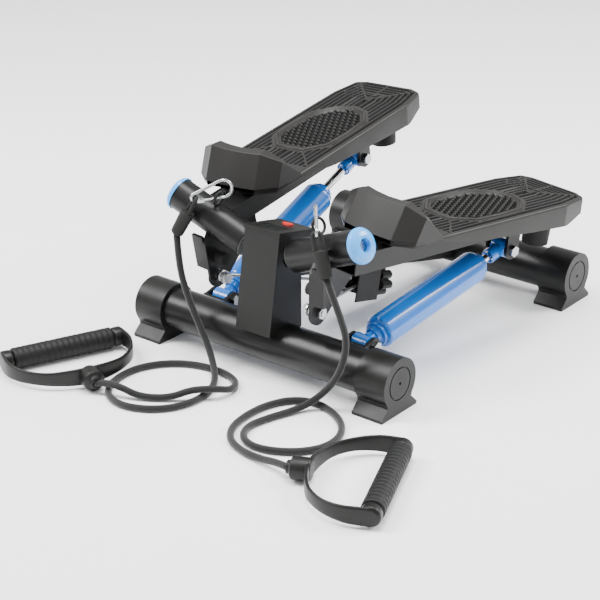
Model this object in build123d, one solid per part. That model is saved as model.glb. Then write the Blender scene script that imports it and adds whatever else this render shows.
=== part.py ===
from build123d import *
import math
import os

# ---------------------------------------------------------------------------
# Mini twist stepper with two resistance cords.
# Frame: X to the right seen from the front, Y to the rear (the heel end of the
# pedals), Z up. The origin lies on the floor, midway between the four feet.
# Millimetres. Everything is drawn as it stands with the right pedal low.
# ---------------------------------------------------------------------------

# frame
WHEELBASE = 410.0          # between the front and rear crossbar axes
FRONT_Y = -WHEELBASE / 2
REAR_Y = WHEELBASE / 2
BAR_RADIUS = 27.0
BAR_WALL = 2.0
BAR_HEIGHT = 40.0          # crossbar axis above the floor
OVERALL_WIDTH = 396.0      # over the end caps of the feet
FOOT_LENGTH = 44.0
FOOT_HALF_DEPTH = 35.5
FOOT_COLLAR_RADIUS = 32.0
FOOT_END_WALL = 6.0
BOX_HALF = 18.0            # spine and post are 36 mm square tube
BOX_WALL = 2.0
APEX = Vector(0, -196, 143)  # where the two swing axes meet inside the post

# post cover and console
COVER_HALF_WIDTH = 27.0
COVER_WALL = 2.5
LID_THICKNESS = 5.0
LID_SLOPE = 12.0
LID_CENTRE = Vector(0, -184, 184)

# swing axes
AXIS_YAW = -4.9            # the right axis points a little forward
AXIS_RISE = 22.3           # and outward and up
AXIS_LENGTH = 150.8        # apex to the outer end of a swing tube
REST_DROP = -5.9           # right arm below the level position at rest
PEDAL_SPREAD = 13.0        # left arm above the right arm at rest
PEDAL_TILT = 24.4          # tread against the swing axis
TUBE_RADIUS = 20.5
TUBE_WALL = 2.5
TUBE_LENGTH = 108.0
AXLE_RADIUS = 10.0
RUNNING = 0.06             # radial clearance of a running fit
PIN_RADIUS = 4.0
PLATE = 4.0

# pedals, measured from the swing axis towards the heel (w) and up (z)
ARM_FROM_END = 40.8        # arm centre line, inboard of the outer tube end
ARM_HALF_WIDTH = 27.0
ARM_BOTTOM = -26.0
ARM_LENGTH = 406.0
TREAD_TOP = 14.6
TREAD_PLATE = 4.0
PEDAL_HALF_WIDTH = 61.7
PEDAL_FRONT = 50.7
PEDAL_HEEL = 415.2
GUARD_HEIGHT = 40.5
BUMPER_W = 390.0
BUMPER_BOTTOM = -61.5
DAMPER_TOP = Vector(0, 320, -55.4)   # upper damper pin in the pedal frame

# dampers
DAMPER_FOOT = Vector(111.6, -161.0, 51.0)
DAMPER_BODY_RADIUS = 21.0
DAMPER_BODY_START = 27.0
DAMPER_BODY_END = 216.0
DAMPER_BORE = 18.0
ROD_RADIUS = 5.5
EYE_RADIUS = 11.0
EYE_LENGTH = 23.0
EYE_BORE = 7.0
CLEVIS_GAP = 13.6          # inner face of a clevis plate from its middle

# height adjuster, measured down the spine from the apex
ADJUST_DROP = 42.0
PULLEY_AT = 172.0
PULLEY_RADIUS = 14.0
ROPE_RADIUS = 2.0
CHANNEL_START = 156.0
CHANNEL_END = 204.0
KNOB_START = 214.0
KNOB_END = 242.0
KNOB_RADIUS = 21.0

# lever plates, drawn in the vertical plane
LEVER_X = 82.0
LEVER_PIN = (-216.0, 104.0)
LEVER_HOLE = (-213.0, 130.0)

# resistance cords
CORD_RADIUS = 4.25
HUB_RADIUS = 14.0
GRIP_RADIUS = 13.0
GRIP_HALF = 66.0
GRIP_REACH = 96.0          # hub centre to grip axis
HANDLE_HEIGHT = 15.0

PARTS = {}


def keep(name, *shapes):
    """Store the solids of one node."""
    solids = [s for shape in shapes for s in shape.solids()]
    PARTS[name] = solids[0] if len(solids) == 1 else Compound(solids)


def rod(start, end, radius):
    """Cylinder between two points."""
    start, end = Vector(start), Vector(end)
    along = end - start
    base = Plane(origin=start, z_dir=along)
    return base.location * Cylinder(radius, along.length, align=(Align.CENTER, Align.CENTER, Align.MIN))


def bar_x(x0, x1, y, z, radius):
    """Cylinder along X."""
    return rod((x0, y, z), (x1, y, z), radius)


def block(x0, x1, y0, y1, z0, z1):
    """Box between two corners."""
    return Pos((x0 + x1) / 2, (y0 + y1) / 2, (z0 + z1) / 2) * Box(x1 - x0, y1 - y0, z1 - z0)


def side_profile(points, x0, x1):
    """Polygon in the YZ plane, extruded along X."""
    face = make_face(Polyline(*[(x0, y, z) for y, z in points], close=True))
    return extrude(face, amount=x1 - x0, dir=(1, 0, 0))


def plan_profile(points, z0, z1):
    """Polygon in the XY plane, extruded along Z."""
    face = make_face(Polyline(*[(x, y, z0) for x, y in points], close=True))
    return extrude(face, amount=z1 - z0, dir=(0, 0, 1))


def hexagon(plane, across_flats, height):
    """Hexagonal bolt head or nut standing on a plane."""
    return plane.location * extrude(RegularPolygon(across_flats / 2, 6, major_radius=False), amount=height)


def bolt(start, end, radius, head=5.0):
    """Bolt with its head beyond the end point and a nut beyond the start point."""
    start, end = Vector(start), Vector(end)
    along = (end - start).normalized()
    shank = rod(start - along * 5.5, end, radius)
    top = hexagon(Plane(origin=end, z_dir=along), 3.25 * radius, head)
    nut = hexagon(Plane(origin=start, z_dir=-along), 3.25 * radius, 4.5)
    return shank + top + nut


# ---------------------------------------------------------------------------
# frames of the swinging halves (right half; the left one is its mirror image)
# ---------------------------------------------------------------------------
yaw, rise = math.radians(AXIS_YAW), math.radians(AXIS_RISE)
OUTWARD = Vector(math.cos(rise) * math.cos(yaw), math.cos(rise) * math.sin(yaw), math.sin(rise))
TUBE_END = APEX + OUTWARD * AXIS_LENGTH
SWING_AXIS = Axis(TUBE_END, OUTWARD)
LEVEL_REAR = Vector(-math.sin(yaw), math.cos(yaw), 0)
REARWARD = LEVEL_REAR.rotate(Axis((0, 0, 0), OUTWARD), REST_DROP)
SWING = Plane(origin=TUBE_END, x_dir=OUTWARD, z_dir=OUTWARD.cross(REARWARD))
tilt = math.radians(PEDAL_TILT)
PEDAL = Plane(
    origin=TUBE_END - OUTWARD * ARM_FROM_END,
    x_dir=SWING.x_dir * math.cos(tilt) - SWING.z_dir * math.sin(tilt),
    z_dir=SWING.x_dir * math.sin(tilt) + SWING.z_dir * math.cos(tilt),
)


def on_left(shape):
    """A part of the right half as it stands on the left, raised and mirrored."""
    return mirror(shape.rotate(SWING_AXIS, PEDAL_SPREAD), about=Plane.YZ)


def keep_pair(name, *shapes):
    """A swinging part, once on each side."""
    keep("right_" + name, *shapes)
    keep("left_" + name, *[on_left(s) for s in shapes])


def mirrored(shape):
    return mirror(shape, about=Plane.YZ)


# ---------------------------------------------------------------------------
# frame
# ---------------------------------------------------------------------------
def crossbar(y):
    """Round steel crossbar; its ends stop inside the foot caps."""
    reach = OVERALL_WIDTH / 2 - FOOT_END_WALL
    outer = bar_x(-reach, reach, y, BAR_HEIGHT, BAR_RADIUS)
    return outer - bar_x(-reach, reach, y, BAR_HEIGHT, BAR_RADIUS - BAR_WALL)


def foot_cap(y, side):
    """Moulded foot pushed over the end of a crossbar."""
    outside = OVERALL_WIDTH / 2
    inside = outside - FOOT_LENGTH
    collar = bar_x(inside, outside, y, BAR_HEIGHT, FOOT_COLLAR_RADIUS)
    d = FOOT_HALF_DEPTH
    base = side_profile(
        [(y - d, 0), (y + d, 0), (y + d, 4), (y + 24, 15), (y + 26, 24), (y - 26, 24), (y - 24, 15), (y - d, 4)],
        inside, outside,
    )
    body = collar + base
    bore = bar_x(inside, outside - FOOT_END_WALL, y, BAR_HEIGHT, BAR_RADIUS)
    recess = bar_x(outside - 1.5, outside, y, BAR_HEIGHT, 21.2) - bar_x(outside - 1.5, outside, y, BAR_HEIGHT, 19.4)
    vent = bar_x(outside - FOOT_END_WALL, outside, y, BAR_HEIGHT, 2.0)
    cap = body - bore - recess - vent
    return cap if side > 0 else mirrored(cap)


def build_frame():
    keep("front_crossbar", crossbar(FRONT_Y))
    keep("rear_crossbar", crossbar(REAR_Y))
    keep("front_foot_caps", foot_cap(FRONT_Y, 1), foot_cap(FRONT_Y, -1))
    keep("rear_foot_caps", foot_cap(REAR_Y, 1), foot_cap(REAR_Y, -1))

    front_bar = bar_x(-60, 60, FRONT_Y, BAR_HEIGHT, BAR_RADIUS)
    rear_bar = bar_x(-60, 60, REAR_Y, BAR_HEIGHT, BAR_RADIUS)
    post_outer = CORE.location * block(-BOX_HALF, BOX_HALF, -BOX_HALF, BOX_HALF, 0, CORE_HEIGHT)
    inner = BOX_HALF - BOX_WALL
    post_inner = CORE.location * block(-inner, inner, -inner, inner, 0, CORE_HEIGHT - BOX_WALL)
    keep("post_core", post_outer - post_inner - front_bar)

    reach = (REAR_Y - APEX.Y) / SPINE.x_dir.Y
    spine = SPINE.location * block(0, reach, -BOX_HALF, BOX_HALF, -BOX_HALF, BOX_HALF)
    hollow = SPINE.location * block(0, reach, -inner, inner, -inner, inner)
    keep("spine_tube", (spine - hollow - post_outer - rear_bar).solids().sort_by(SortBy.VOLUME)[-1])

    axles = []
    for side in (1, -1):
        axle = rod(APEX, APEX + OUTWARD * (AXIS_LENGTH - 6), AXLE_RADIUS)
        axle = (axle - post_outer - block(-100, 0, -400, 0, 0, 300)).solids().sort_by(SortBy.VOLUME)[-1]
        socket = rod(APEX + OUTWARD * (AXIS_LENGTH - 26), APEX + OUTWARD * AXIS_LENGTH, PIN_RADIUS)
        axle = axle - socket
        axles.append(axle if side > 0 else mirrored(axle))
    keep("axles", *axles)


# spine frame: x down the spine to the rear, y to the left, z square to it
SPINE_DIR = Vector(0, REAR_Y - APEX.Y, BAR_HEIGHT + 1.5 - APEX.Z).normalized()
SPINE = Plane(origin=APEX, x_dir=SPINE_DIR, z_dir=Vector(1, 0, 0).cross(SPINE_DIR))
CORE = Plane(origin=(0, FRONT_Y, BAR_HEIGHT), x_dir=(1, 0, 0), z_dir=(0, 12, 136))
CORE_HEIGHT = 129.0
LID = Plane(origin=LID_CENTRE, x_dir=(1, 0, 0), z_dir=(0, math.sin(math.radians(LID_SLOPE)),
                                                     math.cos(math.radians(LID_SLOPE))))


def build_post_cover():
    """Moulded cover round the post, its console lid and what sits in it."""
    outline = [(-237.6, 60.5), (-217.5, 187), (-150.5, 173), (-157, 164), (-175.5, 140), (-175.5, 55), (-205, 55)]
    outer = side_profile(outline, -COVER_HALF_WIDTH, COVER_HALF_WIDTH)
    w = COVER_WALL
    cavity = [(-235.6, 40), (-215.6, 195), (-153.5, 180), (-160, 163), (-178, 139), (-178, 40)]
    inner = side_profile(cavity, -COVER_HALF_WIDTH + w, COVER_HALF_WIDTH - w)
    cover = outer - inner - bar_x(-60, 60, FRONT_Y, BAR_HEIGHT, BAR_RADIUS)
    cover = cover - SPINE.location * block(0, 80, -BOX_HALF - 1, BOX_HALF + 1, -BOX_HALF - 1, BOX_HALF + 1)
    for side in (1, -1):
        hole = rod(APEX, APEX + OUTWARD * 60, AXLE_RADIUS + 2)
        cover = cover - (hole if side > 0 else mirrored(hole))
    above_lid = LID.location * block(-60, 60, -80, 80, -LID_THICKNESS, 60)
    keep("post_shroud", (cover - above_lid).solids().sort_by(SortBy.VOLUME)[-1])

    lid = LID.location * block(-28, 28, -34.5, 34.5, -LID_THICKNESS, 0)
    window = LID.location * block(-17, 17, -25, -3, -LID_THICKNESS, 0)
    slot = LID.location * (Pos(0, 16, -LID_THICKNESS) * extrude(SlotOverall(15.4, 8.4), amount=LID_THICKNESS))
    keep("console_lid", lid - window - slot)
    keep("console_display", LID.location * block(-17, 17, -25, -3, -LID_THICKNESS - 3, -0.8))
    keep("console_button", LID.location * (Pos(0, 16, -6.5) * extrude(SlotOverall(15, 8), amount=8.5)))
    keep("console_board", LID.location * block(-20, 20, -27, 26, -LID_THICKNESS - 5, -LID_THICKNESS - 3))


def build_lower_clevises():
    """Brackets welded to the front crossbar for the damper feet."""
    brackets, bolts = [], []
    to_pin = Vector(0, DAMPER_FOOT.Y - FRONT_Y, DAMPER_FOOT.Z - BAR_HEIGHT)
    frame = Plane(origin=(DAMPER_FOOT.X, FRONT_Y, BAR_HEIGHT), x_dir=(1, 0, 0),
                  z_dir=Vector(1, 0, 0).cross(to_pin))
    reach = to_pin.length
    width = CLEVIS_GAP + PLATE
    for side in (1, -1):
        bracket = block(-width, width, 20, BAR_RADIUS + 3, -12, 12)
        for sign in (1, -1):
            inner, outer = sorted((sign * CLEVIS_GAP, sign * width))
            plate = block(inner, outer, 20, reach, -EYE_RADIUS, EYE_RADIUS)
            plate = plate + bar_x(inner, outer, reach, 0, EYE_RADIUS)
            bracket = bracket + plate
        bracket = bracket - bar_x(-width, width, reach, 0, PIN_RADIUS)
        bracket = frame.location * bracket
        bracket = bracket - bar_x(0, 190, FRONT_Y, BAR_HEIGHT, BAR_RADIUS)
        direction = Vector(width, 0, 0)
        pin = bolt(DAMPER_FOOT - direction, DAMPER_FOOT + direction, PIN_RADIUS)
        if side < 0:
            bracket = mirrored(bracket)
            centre = Vector(-DAMPER_FOOT.X, DAMPER_FOOT.Y, DAMPER_FOOT.Z)
            pin = bolt(centre - direction, centre + direction, PIN_RADIUS)
        brackets.append(bracket)
        bolts.append(pin)
    keep("lower_clevises", *brackets)
    keep("lower_clevis_bolts", *bolts)


def build_adjuster():
    """Channel under the spine with the rope pulley, its screw and the knob."""
    drop = -ADJUST_DROP
    top, bottom = -BOX_HALF, drop - 19
    outside = block(CHANNEL_START, CHANNEL_END, -24.5, 24.5, bottom, top)
    inside = block(CHANNEL_START, CHANNEL_END - 3, -22.5, 22.5, bottom, top - 2.5)
    screw_hole = rod((CHANNEL_END - 4, 0, drop), (CHANNEL_END + 1, 0, drop), PIN_RADIUS + RUNNING)
    keep("adjuster_channel", SPINE.location * (outside - inside - screw_hole))

    # the carriage: a threaded block with two cheeks that hold the pulley
    rear = PULLEY_AT + 23.5
    nut = block(PULLEY_AT + 15, rear, -8, 8, drop - 9, drop + 9)
    for z0, z1 in ((drop - 9, drop - 5.2), (drop + 5.2, drop + 9)):
        nut = nut + block(PULLEY_AT - 6, PULLEY_AT + 15, -6, 6, z0, z1)
    nut = nut - rod((PULLEY_AT + 14, 0, drop), (rear + 1, 0, drop), PIN_RADIUS + RUNNING)
    nut = nut - rod((PULLEY_AT, 0, drop - 20), (PULLEY_AT, 0, drop + 20), PULLEY_PIN)
    keep("pulley_carriage", SPINE.location * nut)
    pin = rod((PULLEY_AT, 0, drop - 10.5), (PULLEY_AT, 0, drop + 10.5), PULLEY_PIN)
    for side in (1, -1):
        end = drop + side * 9
        pin = pin + rod((PULLEY_AT, 0, end), (PULLEY_AT, 0, end + side * 1.5), PULLEY_PIN + 1.5)
    keep("pulley_pin", SPINE.location * pin)
    wheel = Cylinder(PULLEY_RADIUS, 9.6) - Torus(ROPE_COIL, ROPE_RADIUS + 0.5)
    groove = Cylinder(PULLEY_RADIUS + 1, 2 * ROPE_RADIUS + 1) - Cylinder(ROPE_COIL, 2 * ROPE_RADIUS + 1)
    wheel = wheel - groove - Cylinder(PULLEY_PIN + RUNNING, 12)
    keep("pulley", SPINE.location * (Pos(PULLEY_AT, 0, drop) * wheel))

    keep("adjuster_screw", SPINE.location * (
        rod((PULLEY_AT + 18.6, 0, drop), (KNOB_START + 6, 0, drop), PIN_RADIUS)
        + rod((CHANNEL_END + 0.3, 0, drop), (KNOB_START, 0, drop), PIN_RADIUS + 4)
    ))
    knob = rod((KNOB_START, 0, drop), (KNOB_START + 9, 0, drop), 13)
    knob = knob + rod((KNOB_START + 7, 0, drop), (KNOB_END - 2, 0, drop), 15)
    for i in range(KNOB_LOBES):
        a = 2 * math.pi * i / KNOB_LOBES
        y, z = 15 * math.sin(a), drop + 15 * math.cos(a)
        knob = knob + rod((KNOB_START + 7, y, z), (KNOB_END, y, z), KNOB_RADIUS - 15)
    keep("adjuster_knob", SPINE.location * (knob - rod((KNOB_START, 0, drop), (KNOB_START + 6, 0, drop), PIN_RADIUS)))


def lever_pin(side):
    """Centre of the rope eye on the lever bolt of one side."""
    point = Vector(ROPE_EYE_X, LEVER_PIN[0], LEVER_PIN[1])
    if side > 0:
        return point
    turned = on_left(Pos(point) * Sphere(1)).center()
    return Vector(turned.X, turned.Y, turned.Z)


def build_pull_rope():
    """Steel rope from one lever round the pulley to the other lever."""
    centre = SPINE.from_local_coords(Vector(PULLEY_AT, 0, -ADJUST_DROP))
    pulley = Plane(origin=centre, x_dir=SPINE.x_dir, z_dir=SPINE.z_dir)
    sides = {side: pulley.from_local_coords(Vector(0, -side * ROPE_COIL, 0)) for side in (1, -1)}
    rear = pulley.from_local_coords(Vector(ROPE_COIL, 0, 0))
    turn = ThreePointArc(sides[1], rear, sides[-1])
    rope = sweep(Plane(origin=sides[1], z_dir=turn % 0) * Circle(ROPE_RADIUS), path=turn)
    for side in (1, -1):
        eye = lever_pin(side)
        ring = Plane(origin=eye, z_dir=(1, 0, 0)).location * Torus(PIN_RADIUS + ROPE_RADIUS + 0.4, ROPE_RADIUS)
        start = eye + Vector(0, PIN_RADIUS + ROPE_RADIUS + 0.4, 0)
        rope = rope + ring + rod(start, sides[side], ROPE_RADIUS) + Pos(sides[side]) * Sphere(ROPE_RADIUS)
    keep("pull_rope", rope)


# ---------------------------------------------------------------------------
# swinging halves
# ---------------------------------------------------------------------------
def tube_local(x0, x1, radius):
    """Cylinder on the swing axis, measured inwards (negative) from the tube end."""
    return SWING.location * rod((x0, 0, 0), (x1, 0, 0), radius)


def swing_tube():
    solid = tube_local(-TUBE_LENGTH, 0, TUBE_RADIUS)
    return solid, solid - tube_local(-TUBE_LENGTH, 0, TUBE_RADIUS - TUBE_WALL)


def pedal_outline(inset):
    """Plan of the tread: chamfered at the heel, toed in at the front."""
    w, e = PEDAL_HALF_WIDTH - inset, inset
    half = [(38.7 - e / 2, PEDAL_FRONT + e), (w, 70 + e / 2), (w, 364 - e / 3)]
    half += [(53.7 - e, 408 - e), (37.9 - e / 2, PEDAL_HEEL - e)]
    return half + [(-u, v) for u, v in reversed(half)]


def guard_section(inset, height, corner, wing):
    """Open U round the toe of the tread at one height."""
    w = PEDAL_HALF_WIDTH
    outside = [(-w, 118), (-w, wing), (-38.6, corner), (38.6, corner), (w, wing), (w, 118)]
    w = w - inset
    inside = [(w, 118), (w, wing + inset / 2), (37.2, corner + inset)]
    inside = inside + [(-u, v) for u, v in reversed(inside)]
    return make_face(Polyline(*[(u, v, height) for u, v in outside + inside], close=True))


def pedal_shape():
    skirt = [(PEDAL_FRONT - 5, TREAD_TOP + 5), (PEDAL_FRONT - 5, TREAD_TOP), (117, 7.6), (193, -4.4), (299, -12.4)]
    skirt = skirt + [(373, -16.4), (PEDAL_HEEL + 5, -6.4), (PEDAL_HEEL + 5, TREAD_TOP + 5)]
    outer = plan_profile(pedal_outline(0), -20, TREAD_TOP)
    inner = plan_profile(pedal_outline(3), -20, TREAD_TOP - TREAD_PLATE)
    shell = (outer - inner) & side_profile(skirt, -PEDAL_HALF_WIDTH - 1, PEDAL_HALF_WIDTH + 1)
    low = guard_section(3.2, TREAD_TOP, PEDAL_FRONT, 70)
    high = guard_section(3.2, TREAD_TOP + GUARD_HEIGHT, 71, 92)
    guard = loft([low, high], ruled=True)
    above = [(74, TREAD_TOP + GUARD_HEIGHT + 1), (118.5, TREAD_TOP - 0.01), (140, TREAD_TOP), (140, 80), (74, 80)]
    guard = guard - side_profile(above, -70, 70)
    tread = shell + guard
    for u, w in BOSSES:
        tread = tread + rod((u, w, 0), (u, w, TREAD_TOP - TREAD_PLATE), 6)
        tread = tread - rod((u, w, -1), (u, w, 9), SCREW_RADIUS)
    for w in (130, 250, 370):
        tread = tread + block(-56, 56, w - 1.5, w + 1.5, 0.3, TREAD_TOP - TREAD_PLATE)
    return tread


def insert_shape():
    """Massage pad: a long shield with a raised rim and rows of round nubs."""
    half = [(18, 181), (39, 205), (39, 292), (20, 314), (0, 319)]
    outline = [(-u, v) for u, v in half[:-1]][::-1]
    outline = half + outline
    plate = plan_profile(outline, TREAD_TOP, TREAD_TOP + 3.2)
    scale_in = [(u * 0.92, 250 + (v - 250) * 0.955) for u, v in outline]
    plate = plate - plan_profile(scale_in, TREAD_TOP + 1.4, TREAD_TOP + 3.2)
    for row in range(10):
        w = 194 + row * 12
        columns = (-27, -13.5, 0, 13.5, 27) if 1 < row < 9 else (-13.5, 0, 13.5)
        for u in columns:
            plate = plate + rod((u, w, TREAD_TOP + 1.4), (u, w, TREAD_TOP + 4.2), 3.4)
    return plate


def lever_shape(solids_above):
    y, z = LEVER_PIN
    outline = [(-231, z), (-231, 158), (-222, 170), (-185, 170), (-141, 158), (-141, 136), (-181, 111), (-206, 92)]
    x0, x1 = LEVER_X, LEVER_X + PLATE
    plate = side_profile(outline, x0, x1) + bar_x(x0, x1, y, z, 16)
    plate = plate + block(x1, x1 + 18, -231, -227, 118, 165)
    plate = plate - bar_x(x0, x1, y, z, PIN_RADIUS) - bar_x(x0, x1, LEVER_HOLE[0], LEVER_HOLE[1], PIN_RADIUS)
    for solid in solids_above:
        plate = plate - solid
    return plate.solids().sort_by(SortBy.VOLUME)[-1]


def build_swing():
    tube_solid, tube = swing_tube()
    keep_pair("swing_tube", tube)
    flange = tube_local(-TUBE_LENGTH - 2, -TUBE_LENGTH, TUBE_RADIUS - 1)
    inner_bush = tube_local(-TUBE_LENGTH, -TUBE_LENGTH + 14, TUBE_RADIUS - TUBE_WALL) + flange
    outer_bush = tube_local(-20.5, -6.5, TUBE_RADIUS - TUBE_WALL)
    bore = tube_local(-TUBE_LENGTH - 3, 0, AXLE_RADIUS + RUNNING)
    keep_pair("bushes", inner_bush - bore, outer_bush - bore)

    dome = Plane(origin=TUBE_END, z_dir=OUTWARD)
    profile = Polyline((8.5, 0), (21.7, 0), (21.7, 2.6), (20.2, 5.4), (16.5, 7.8), (12, 9), (8.5, 9), close=True)
    cap = revolve(Plane.XZ * make_face(Plane.XY * profile), axis=Axis.Z)
    spigot = Cylinder(17.95, 3, align=(Align.CENTER, Align.CENTER, Align.MAX))
    spigot = spigot - Cylinder(16.5, 3, align=(Align.CENTER, Align.CENTER, Align.MAX))
    keep_pair("end_cap", dome.location * (cap + spigot))

    arm = block(-ARM_HALF_WIDTH, ARM_HALF_WIDTH, 8, ARM_LENGTH, ARM_BOTTOM, 0)
    arm_inside = block(2 - ARM_HALF_WIDTH, ARM_HALF_WIDTH - 2, 0, ARM_LENGTH - 2, ARM_BOTTOM + 2, -2)
    arm_solid = PEDAL.location * arm
    holes = [rod((u, w, ARM_BOTTOM - 1), (u, w, 1), SCREW_RADIUS) for u, w in BOSSES]
    hollow_arm = arm - arm_inside
    for hole in holes:
        hollow_arm = hollow_arm - hole
    hollow_arm = PEDAL.location * hollow_arm - tube_solid
    keep_pair("pedal_arm", hollow_arm.solids().sort_by(SortBy.VOLUME)[-1])
    keep_pair("pedal", PEDAL.location * pedal_shape())
    keep_pair("massage_insert", PEDAL.location * insert_shape())

    drum = Cone(17.5, 19.5, ARM_BOTTOM - BUMPER_BOTTOM, align=(Align.CENTER, Align.CENTER, Align.MAX))
    drum = Pos(0, BUMPER_W, ARM_BOTTOM) * drum
    x0 = LEVER_X
    buffer_plug = bar_x(x0 - 14, x0, LEVER_HOLE[0], LEVER_HOLE[1], 8) \
        + bar_x(x0, x0 + PLATE + 3, LEVER_HOLE[0], LEVER_HOLE[1], PIN_RADIUS)
    keep_pair("bumpers", PEDAL.location * drum, buffer_plug)

    lever = lever_shape([tube_solid, arm_solid])
    keep_pair("lever_plate", lever)

    # upper damper clevis under the arm
    low, w, width = DAMPER_TOP.Z, DAMPER_TOP.Y, CLEVIS_GAP + PLATE
    clevis = block(-22, 22, w - 22, w + 22, ARM_BOTTOM - 3, ARM_BOTTOM)
    for sign in (1, -1):
        inner, outer = sorted((sign * CLEVIS_GAP, sign * width))
        clevis = clevis + block(inner, outer, w - 12, w + 12, low, ARM_BOTTOM - 3) + bar_x(inner, outer, w, low, 12)
    keep_pair("upper_clevis", PEDAL.location * (clevis - bar_x(-width, width, w, low, PIN_RADIUS)))

    y, z = LEVER_PIN
    lever_bolt = bar_x(70, x0 + PLATE + 7, y, z, PIN_RADIUS)
    lever_bolt = lever_bolt + bar_x(71, 72.5, y, z, 8) + bar_x(79.8, x0, y, z, 8)
    lever_bolt = lever_bolt + hexagon(Plane(origin=(71, y, z), z_dir=(-1, 0, 0)), 13, 5.3)
    lever_bolt = lever_bolt + hexagon(Plane(origin=(x0 + PLATE, y, z), z_dir=(1, 0, 0)), 13, 6)
    screws = []
    for u, v in BOSSES:
        screw = rod((u, v, ARM_BOTTOM), (u, v, 9), SCREW_RADIUS)
        screws.append(PEDAL.location * (screw + hexagon(Plane(origin=(u, v, ARM_BOTTOM), z_dir=(0, 0, -1)), 7, 2.8)))
    near, far = Vector(-width, w, low), Vector(width, w, low)
    right_pin = PEDAL.location * bolt(near, far, PIN_RADIUS)
    left_pin = PEDAL.location * bolt(far, near, PIN_RADIUS)
    keep("right_fasteners", lever_bolt, *screws, right_pin)
    keep("left_fasteners", *[on_left(s) for s in [lever_bolt, *screws, left_pin]])

    eye = RING.location * Torus(RING_RADIUS, RING_WIRE)
    keep("right_cord_eye", eye)
    keep("left_cord_eye", mirrored(eye))

    # bolt and washer that hold the swing tubes on the axles
    washer = tube_local(-6, -4, 16) + tube_local(-26, -4, PIN_RADIUS)
    head = hexagon(Plane(origin=TUBE_END - OUTWARD * 4, z_dir=OUTWARD), 13, 5.5)
    keep("axle_fasteners", washer + head, mirrored(washer + head))


# ---------------------------------------------------------------------------
# dampers
# ---------------------------------------------------------------------------
def build_damper(side):
    """One damper, drawn on the right and put across for the left."""
    top = PEDAL.from_local_coords(DAMPER_TOP)
    if side < 0:
        marker = on_left(Pos(top) * Sphere(1)).center()
        top = Vector(-marker.X, marker.Y, marker.Z)
    along = top - DAMPER_FOOT
    length = along.length
    line = Plane(origin=DAMPER_FOOT, x_dir=Vector(1, 0, 0) - along * (along.X / length ** 2), z_dir=along)

    def eye(z):
        return bar_x(-EYE_LENGTH / 2, EYE_LENGTH / 2, 0, z, EYE_RADIUS)

    def bore(z):
        return bar_x(-EYE_LENGTH / 2, EYE_LENGTH / 2, 0, z, EYE_BORE)

    barrel = rod((0, 0, DAMPER_BODY_START), (0, 0, DAMPER_BODY_END), DAMPER_BODY_RADIUS)
    barrel = fillet(barrel.edges().filter_by(GeomType.CIRCLE), 5)
    barrel = barrel + rod((0, 0, 8), (0, 0, DAMPER_BODY_START + 2), 8.5)
    barrel = barrel + rod((0, 0, DAMPER_BODY_END - 1), (0, 0, DAMPER_BODY_END + 3), 9.5)
    barrel = barrel - rod((0, 0, DAMPER_BODY_START + 6), (0, 0, DAMPER_BODY_END - 6), DAMPER_BORE)
    barrel = barrel - rod((0, 0, DAMPER_BODY_END - 7), (0, 0, DAMPER_BODY_END + 4), ROD_RADIUS + RUNNING)
    barrel = barrel + eye(0) - bore(0)

    stroke_end = length - 211
    stem = rod((0, 0, stroke_end), (0, 0, length - 20), ROD_RADIUS)
    stem = stem + rod((0, 0, stroke_end), (0, 0, stroke_end + 8), DAMPER_BORE - RUNNING)
    stem = stem + rod((0, 0, length - 27), (0, 0, length - 8), 8.5)
    stem = stem + eye(length) - bore(length)
    name = "right" if side > 0 else "left"
    for part, shape in (("damper_cylinder", barrel), ("damper_rod", stem)):
        placed = line.location * shape
        keep(f"{name}_{part}", placed if side > 0 else mirrored(placed))


# ---------------------------------------------------------------------------
# resistance cords
# ---------------------------------------------------------------------------
def smooth_path(points):
    """Straight runs joined by tangent arcs that use 0.45 of the shorter run."""
    points = [Vector(p) for p in points]
    edges, last, radii = [], points[0], []
    for i in range(1, len(points) - 1):
        corner = points[i]
        before, after = corner - points[i - 1], points[i + 1] - corner
        reach = 0.45 * min(before.length, after.length)
        turn = math.radians(before.get_angle(after))
        radii.append(reach / math.tan(turn / 2))
        start = corner - before.normalized() * reach
        end = corner + after.normalized() * reach
        inward = (after.normalized() - before.normalized()).normalized()
        middle = corner + inward * (radii[-1] / math.cos(turn / 2) - radii[-1])
        edges += [Line(last, start), ThreePointArc(start, middle, end)]
        last = end
    edges.append(Line(last, points[-1]))
    print("smallest bend radius", round(min(radii), 1))
    return Wire([e for edge in edges for e in edge.edges()])


def tube_along(points, radius):
    """Round cord along a smoothed path."""
    path = smooth_path(points)
    start = Plane(origin=points[0], z_dir=Vector(points[1]) - Vector(points[0]))
    cord = sweep(start * Circle(radius), path=path)
    print("volume over section times length", round(cord.volume / (math.pi * radius ** 2 * path.length), 4))
    return cord


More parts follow.
